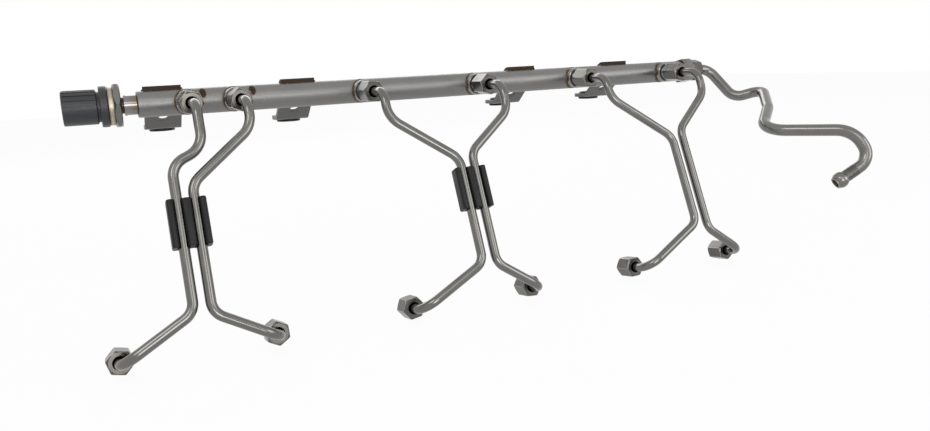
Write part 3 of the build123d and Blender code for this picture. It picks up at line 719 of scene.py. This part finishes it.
def hexagon_nut(origin, direction, turn, flats, length, hole, wall, thread, relief,
                relief_end, pitch=0.0):
    """Hexagon nut as one closed loop of rows.

    Outside, the radius is a soft least of the six flats' distance flats / 2 / cos(a - 60 k)
    and of the two 30 degree chamfer cones; inside it steps through hole, relief and thread.
    With a pitch, the thread rows follow crest + depth times a triangle wave of h / pitch - a."""
    corner_power, edge_power = 44, 50
    thread_depth, mouth_chamfer = 0.62 * MM, 0.7 * MM
    x, y, z = axis_frame(direction)
    part = np.linspace(-1, 1, 24, endpoint=False)
    part = np.sign(part) * np.abs(part) ** 1.7 * 30
    angle = np.radians((np.arange(6)[:, None] * 60 + part[None]).ravel())
    flat_way = angle[:, None] - np.radians(np.arange(3) * 60 + 30)[None]
    facing = np.sum(np.abs(np.cos(flat_way)) ** corner_power, 1)
    hexagon = flats / 2 / facing ** (1 / corner_power)
    rise = np.concatenate([np.linspace(0, 1.3, 9), np.linspace(2, length / MM - 1.4, 6),
                           np.linspace(length / MM - 0.9, length / MM, 6)]) * MM
    slope = tan(radians(30))
    cone = np.minimum(flats / 2 - 0.7 * MM + rise / slope,
                      flats / 2 + 0.1 * MM + (length - rise) / slope)
    outer = (hexagon[None] ** -edge_power + cone[:, None] ** -edge_power) ** (-1 / edge_power)
    bore = thread / 2
    mouth = bore + mouth_chamfer
    around = np.ones_like(angle)[None]
    radii = [np.array([[hole], [hole], [hole + 0.25 * MM]]) * around, outer,
             np.array([[mouth], [bore]]) * around]
    heights = [np.array([wall, 0.25 * MM, 0.0]), rise,
               np.array([length, length - mouth_chamfer])]
    if pitch:
        run = np.arange(length - 0.8 * MM, relief_end + 0.1 * MM, -pitch / 8)
        wave = np.abs(((run[:, None] / pitch - angle[None] / (2 * pi)) % 1) * 2 - 1)
        ease = np.clip(np.minimum(length - mouth_chamfer - run, run - relief_end) / (0.4 * pitch),
                       0, 1)[:, None]
        radii.append(bore - thread_depth * np.clip(wave * 1.3 - 0.15, 0, 1) * ease)
        heights.append(run)
    radii.append(np.array([[bore], [relief / 2], [relief / 2], [hole + 0.01 * MM]]) * around)
    heights.append(np.array([relief_end, relief_end, wall, wall]))
    radius = np.concatenate(radii)
    height = np.concatenate(heights)
    ring = np.cos(angle + turn)[:, None] * x + np.sin(angle + turn)[:, None] * y
    # Worn edges with a painted highlight: the creases between flats and chamfers and the hexagon's
    # corners take the bright second colour.
    crease = np.exp(-((hexagon[None] - cone[:, None]) / (0.2 * MM)) ** 2)
    corner = np.exp(-(part / 1.8) ** 2)
    corner = np.tile(corner, 6)[None] * (hexagon[None] < cone[:, None])
    wear_and_painted_light = np.zeros_like(radius)
    wear_and_painted_light[3:3 + len(rise)] = np.clip(crease + 0.6 * corner, 0, 1)
    return (np.asarray(origin) + radius[..., None] * ring[None] + height[:, None, None] * z,
            wear_and_painted_light)


class FUELRAIL_OT_nuts(bpy.types.Operator):
    """Cut the union nuts: hexagons with turned chamfers, and threads in the loose ones"""
    bl_idname = "fuelrail.nuts"
    bl_label = "Union nuts"

    def execute(self, context):
        pitch = context.scene.rail_details.thread_pitch
        union = {"flats": 14 * MM, "hole": 3.975 * MM, "wall": 3.2 * MM, "thread": 12 * MM,
                 "relief": 12.6 * MM, "relief_end": 8.4 * MM}
        jobs = []
        for i, x in enumerate(OUTLET_X):
            face = (x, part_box(f"rail_nut_{i + 1}")[0][1], float(RAIL_MIDDLE[2]))
            jobs.append((f"rail_nut_{i + 1}", face, (0, 1, 0), "rail", "Nut steel",
                         {**union, "length": 16.5 * MM}))
        for joint in frame["joints"]:
            node = "injector_" + joint["child"]
            jobs.append((node, joint["pos_m"], joint["axis"], joint["child"], "Nut steel",
                         {**union, "length": 14 * MM, "pitch": pitch}))
        end = node_middle("feed_nut")
        feed = {"flats": 16.5 * MM, "length": 9.2 * MM, "hole": 4.9 * MM, "wall": 2.4 * MM,
                "thread": 13 * MM, "relief": 13.5 * MM, "relief_end": 4.4 * MM}
        jobs.append(("feed_nut", (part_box("feed_nut")[1][0], end[1], end[2]), (-1, 0, 0), "rail",
                     "Dark nut steel", feed))
        for node, face, way, body, finish, sizes in jobs:
            turn = corner_angle(node, face, way)
            grid, wear_and_painted_light = hexagon_nut(face, way, turn, **sizes)
            mesh = mesh_from_grid(f"cut_{node}", grid, close_v=True)
            mark_wear_and_painted_light(mesh, wear_and_painted_light)
            finish_mesh(f"cut_{node}", mesh, MATERIALS[finish], body, (node,),
                        sharp=20)
        return {"FINISHED"}


class FUELRAIL_OT_feed_rings(bpy.types.Operator):
    """Roll the fine rings that a clamp left on the feed pipe behind its free nipple.

    Radius: 4.52 mm plus 0.1 mm times the upper half of a sine wave 0.85 mm long, easing to
    4.46 mm at both ends; the inner wall is a plain cylinder"""
    bl_idname = "fuelrail.feed_rings"
    bl_label = "Feed pipe rings"

    def execute(self, context):
        tip = np.array(FEED_TIP)
        first, last, spacing = 8.2, 18.4, 0.85
        away = np.linspace(first, last, 171)
        ridge = np.maximum(np.sin(away * 2 * pi / spacing), 0)
        fade = np.clip(np.minimum(away - first, last - away) / 0.2, 0, 1)
        radius = (4.46 + 0.06 * fade + 0.1 * ridge * fade) * MM
        inside = np.full(2, 3.6 * MM)
        grid = turned_grid(np.append(radius, inside), np.append(away, away[[-1, 0]]) * MM, tip,
                           np.array(FEED_LAST_BEND) - tip)
        mesh = mesh_from_grid("feed_pipe_rings", grid, close_v=True)
        # Painted shade: the grooves between the ridges take the darker second colour.
        wear_and_painted_light = np.append(0.8 * (1 - ridge) * fade, [0, 0])
        mark_wear_and_painted_light(mesh, np.repeat(wear_and_painted_light[:, None], grid.shape[1], 1))
        finish_mesh("feed_pipe_rings", mesh, MATERIALS["Ringed steel"], "rail")
        return {"FINISHED"}


def damper_outline():
    """Outline of a damper: three rounded bars, two grooves of 3.2 mm and a notch behind."""
    front, back, half = -4.4, 5.6, 11.5
    lip = 2.3
    groove = 3.2
    hit = np.degrees(np.arccos(lip / groove))
    parts = [
        arc(-9.4, front + 2.1, 2.1, 180, 360, 16),
        arc(-5, 0, groove, 180 + hit, -hit, 26),
        arc(-0.7, front + 2.0, 2.0, 180, 270, 9),
        arc(0.7, front + 2.0, 2.0, 270, 360, 9),
        arc(5, 0, groove, 180 + hit, -hit, 26),
        arc(9.4, front + 2.1, 2.1, 180, 360, 16),
        arc(half - 2, back - 2, 2, 0, 90, 9),
        arc(0, back + 0.4, 1.7, -14, -166, 10),
        arc(-half + 2, back - 2, 2, 90, 180, 9),
    ]
    return np.concatenate(parts) * MM


class FUELRAIL_OT_dampers(bpy.types.Operator):
    """Mould the two damper blocks with their grooves and rounded bars.

    The outline is carried along the pipes and moved inwards by a quarter circle at each end"""
    bl_idname = "fuelrail.dampers"
    bl_label = "Damper blocks"

    def execute(self, context):
        edge = context.scene.rail_details.edge_round
        along = np.array([0, -sin(PIPE_LEAN), -cos(PIPE_LEAN)])
        across = np.array([-1.0, 0, 0])
        behind = np.array([0, cos(PIPE_LEAN), -sin(PIPE_LEAN)])
        outline = damper_outline()
        step = np.roll(outline, -1, 0) - np.roll(outline, 1, 0)
        normal = np.stack([step[:, 1], -step[:, 0]], -1)
        normal /= np.linalg.norm(normal, axis=1)[:, None] + 1e-12
        area = 0.5 * np.sum(outline[:, 0] * np.roll(outline[:, 1], -1)
                            - np.roll(outline[:, 0], -1) * outline[:, 1])
        normal *= np.sign(area)
        length, set_back = 29.5 * MM, 0.6 * MM
        turn = np.linspace(0, pi / 2, 6)
        inset = edge * (1 - np.sin(turn))
        reach = edge * (1 - np.cos(turn))
        insets = np.concatenate([inset, inset[::-1]])
        places = np.concatenate([reach, length - reach[::-1]])
        flat = outline[None] - normal[None] * insets[:, None, None]
        for k in (1, 2):
            low, high = (np.array(v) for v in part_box(f"damper_{k}"))
            middle = (low + high) / 2
            start = middle - along * length / 2 - behind * set_back
            grid = (start + flat[..., :1] * across + flat[..., 1:] * behind
                    + places[:, None, None] * along)
            mesh = mesh_from_grid(f"damper_block_{k}", grid, caps=True)
            finish_mesh(f"damper_block_{k}", mesh, MATERIALS["Moulded rubber"], "rail",
                        (f"damper_{k}",), sharp=50)
        return {"FINISHED"}


class FUELRAIL_OT_bushes(bpy.types.Operator):
    """Turn the rubber bushes of the brackets with rounded flanges"""
    bl_idname = "fuelrail.bushes"
    bl_label = "Bracket bushes"

    def execute(self, context):
        outline = np.concatenate([
            [[4.6, 6.5], [4.6, 0.0]],
            arc(8.1, 0.6, 0.6, -90, 0, 6), arc(8.1, 1.4, 0.6, 0, 90, 6),
            [[6.0, 2.0], [6.0, 4.8]],
            arc(7.4, 5.3, 0.5, -90, 0, 6), arc(6.4, 5.0, 1.5, 0, 90, 8),
        ])
        for i, x in enumerate(BRACKET_X):
            grid = turned_grid(outline[:, 0] * MM, outline[:, 1] * MM, (x, 0, 0), (0, 0, 1))
            mesh = mesh_from_grid(f"rubber_bush_{i + 1}", grid, close_v=True)
            finish_mesh(f"rubber_bush_{i + 1}", mesh, MATERIALS["Moulded rubber"], "rail",
                        (f"bracket_bush_{i + 1}",), sharp=40)
        return {"FINISHED"}


class FUELRAIL_OT_stage(bpy.types.Operator):
    """Set out the floor, backdrop, lamps and camera"""
    bl_idname = "fuelrail.stage"
    bl_label = "Stage"

    def lamp(self, name, place, size, power):
        """Rectangular soft light aimed at the part's middle."""
        data = bpy.data.lights.new(name, "AREA")
        data.shape = "RECTANGLE"
        data.size, data.size_y = size
        data.energy = power
        thing = bpy.data.objects.new(name, data)
        bpy.context.scene.collection.objects.link(thing)
        aim = Vector((0, -0.08, 0)) - Vector(place)
        turn = aim.to_track_quat("-Z", "Y").to_matrix().to_4x4()
        thing.matrix_world = Matrix.Translation(place) @ turn

    def seen_white(self, tree):
        """1 for camera, glossy and transmission rays, which see the background as white."""
        path = tree.nodes.new("ShaderNodeLightPath")
        return math(tree, "MAXIMUM", path.outputs["Is Camera Ray"],
                    math(tree, "MAXIMUM", path.outputs["Is Glossy Ray"],
                         path.outputs["Is Transmission Ray"]))

    def floor(self, stage):
        """Pale floor just under the part: mostly white to those rays, and matte beneath."""
        white_share = 0.94
        half = 4
        pale = bpy.data.materials.new("Pale floor")
        pale.use_nodes = True
        tree = pale.node_tree
        tree.nodes.clear()
        matte = add(tree, "ShaderNodeBsdfDiffuse", Color=rgba(stage.floor))
        white = add(tree, "ShaderNodeEmission", Color=(1, 1, 1, 1), Strength=1.0)
        mix = tree.nodes.new("ShaderNodeMixShader")
        tree.links.new(math(tree, "MULTIPLY", self.seen_white(tree), white_share),
                       mix.inputs[0])
        tree.links.new(matte.outputs[0], mix.inputs[1])
        tree.links.new(white.outputs[0], mix.inputs[2])
        out = tree.nodes.new("ShaderNodeOutputMaterial")
        tree.links.new(mix.outputs[0], out.inputs[0])
        level = float(CAD_BOX[0][2]) - 2 * MM
        mesh = bpy.data.meshes.new("floor")
        mesh.from_pydata([(-half, -half, level), (half, -half, level), (half, half, level),
                          (-half, half, level)], [], [(0, 1, 2, 3)])
        mesh.materials.append(pale)
        thing = bpy.data.objects.new("floor", mesh)
        bpy.context.scene.collection.objects.link(thing)

    def world(self, scene, stage):
        """Even light from all round, with a white background."""
        world = bpy.data.worlds.new("Studio")
        scene.world = world
        world.use_nodes = True
        tree = world.node_tree
        tree.nodes.clear()
        level = math(tree, "MAXIMUM", self.seen_white(tree), stage.ambient)
        mix = add(tree, "ShaderNodeBackground", Color=(1, 1, 1, 1), Strength=level)
        out = tree.nodes.new("ShaderNodeOutputWorld")
        tree.links.new(mix.outputs[0], out.inputs[0])

    def camera(self, scene, stage):
        """Camera from three angles: yaw about Z, pitch down and roll about its own axis."""
        lens = bpy.data.cameras.new("camera")
        lens.sensor_fit = "HORIZONTAL"
        lens.sensor_width = 36.0
        lens.lens = stage.focal
        lens.clip_start = 0.01
        lens.clip_end = 50
        camera = bpy.data.objects.new("camera", lens)
        scene.collection.objects.link(camera)
        yaw, pitch, roll = CAMERA_YAW, CAMERA_PITCH, CAMERA_ROLL
        forward = Vector((sin(yaw) * cos(pitch), cos(yaw) * cos(pitch), -sin(pitch)))
        right = Vector((cos(yaw), -sin(yaw), 0))
        down = forward.cross(right)
        side = cos(roll) * right + sin(roll) * down
        fall = -sin(roll) * right + cos(roll) * down
        turn = Matrix((side, -fall, -forward)).transposed()
        camera.matrix_world = Matrix.Translation(CAMERA_PLACE) @ turn.to_4x4()
        scene.camera = camera

    def execute(self, context):
        scene = context.scene
        stage = scene.rail_stage
        self.floor(stage)
        self.world(scene, stage)
        self.lamp("front", (-0.15, -1.6, 0.1), (0.7, 0.5), stage.front)
        self.lamp("high", (-0.15, -1.4, 0.8), (0.7, 0.5), stage.high)
        self.lamp("left", (-1.0, -0.8, 1.1), (0.6, 0.6), stage.left)
        self.lamp("right", (1.0, -1.2, 0.4), (0.8, 0.8), stage.right)
        self.lamp("back", (0.1, 1.35, 0.75), (1.8, 0.45), stage.back)
        self.camera(scene, stage)
        scene.view_settings.view_transform = "Standard"
        return {"FINISHED"}


class FUELRAIL_PT_panel(bpy.types.Panel):
    """Fuel rail tools in the sidebar"""
    bl_label = "Fuel Rail"
    bl_space_type = "VIEW_3D"
    bl_region_type = "UI"
    bl_category = "Fuel Rail"

    def draw(self, context):
        for operator in OPERATORS:
            self.layout.operator(operator.bl_idname)
        for settings in ("rail_finish", "rail_details", "rail_stage"):
            group = getattr(context.scene, settings)
            for name in group.__annotations__:
                self.layout.prop(group, name)


SETTINGS = {"rail_finish": FinishSettings, "rail_details": DetailSettings,
            "rail_stage": StageSettings}
OPERATORS = (
    FUELRAIL_OT_finishes, FUELRAIL_OT_outlets, FUELRAIL_OT_beads, FUELRAIL_OT_nuts,
    FUELRAIL_OT_feed_rings, FUELRAIL_OT_dampers, FUELRAIL_OT_bushes, FUELRAIL_OT_stage,
)


def register():
    for name, settings in SETTINGS.items():
        bpy.utils.register_class(settings)
        setattr(bpy.types.Scene, name, bpy.props.PointerProperty(type=settings))
    for operator in OPERATORS:
        bpy.utils.register_class(operator)
    bpy.utils.register_class(FUELRAIL_PT_panel)


def unregister():
    bpy.utils.unregister_class(FUELRAIL_PT_panel)
    for operator in reversed(OPERATORS):
        bpy.utils.unregister_class(operator)
    for name, settings in reversed(SETTINGS.items()):
        delattr(bpy.types.Scene, name)
        bpy.utils.unregister_class(settings)


def main():
    register()
    for operator in OPERATORS:
        group, call = operator.bl_idname.split(".")
        getattr(getattr(bpy.ops, group), call)()


if __name__ == "__main__":
    main()
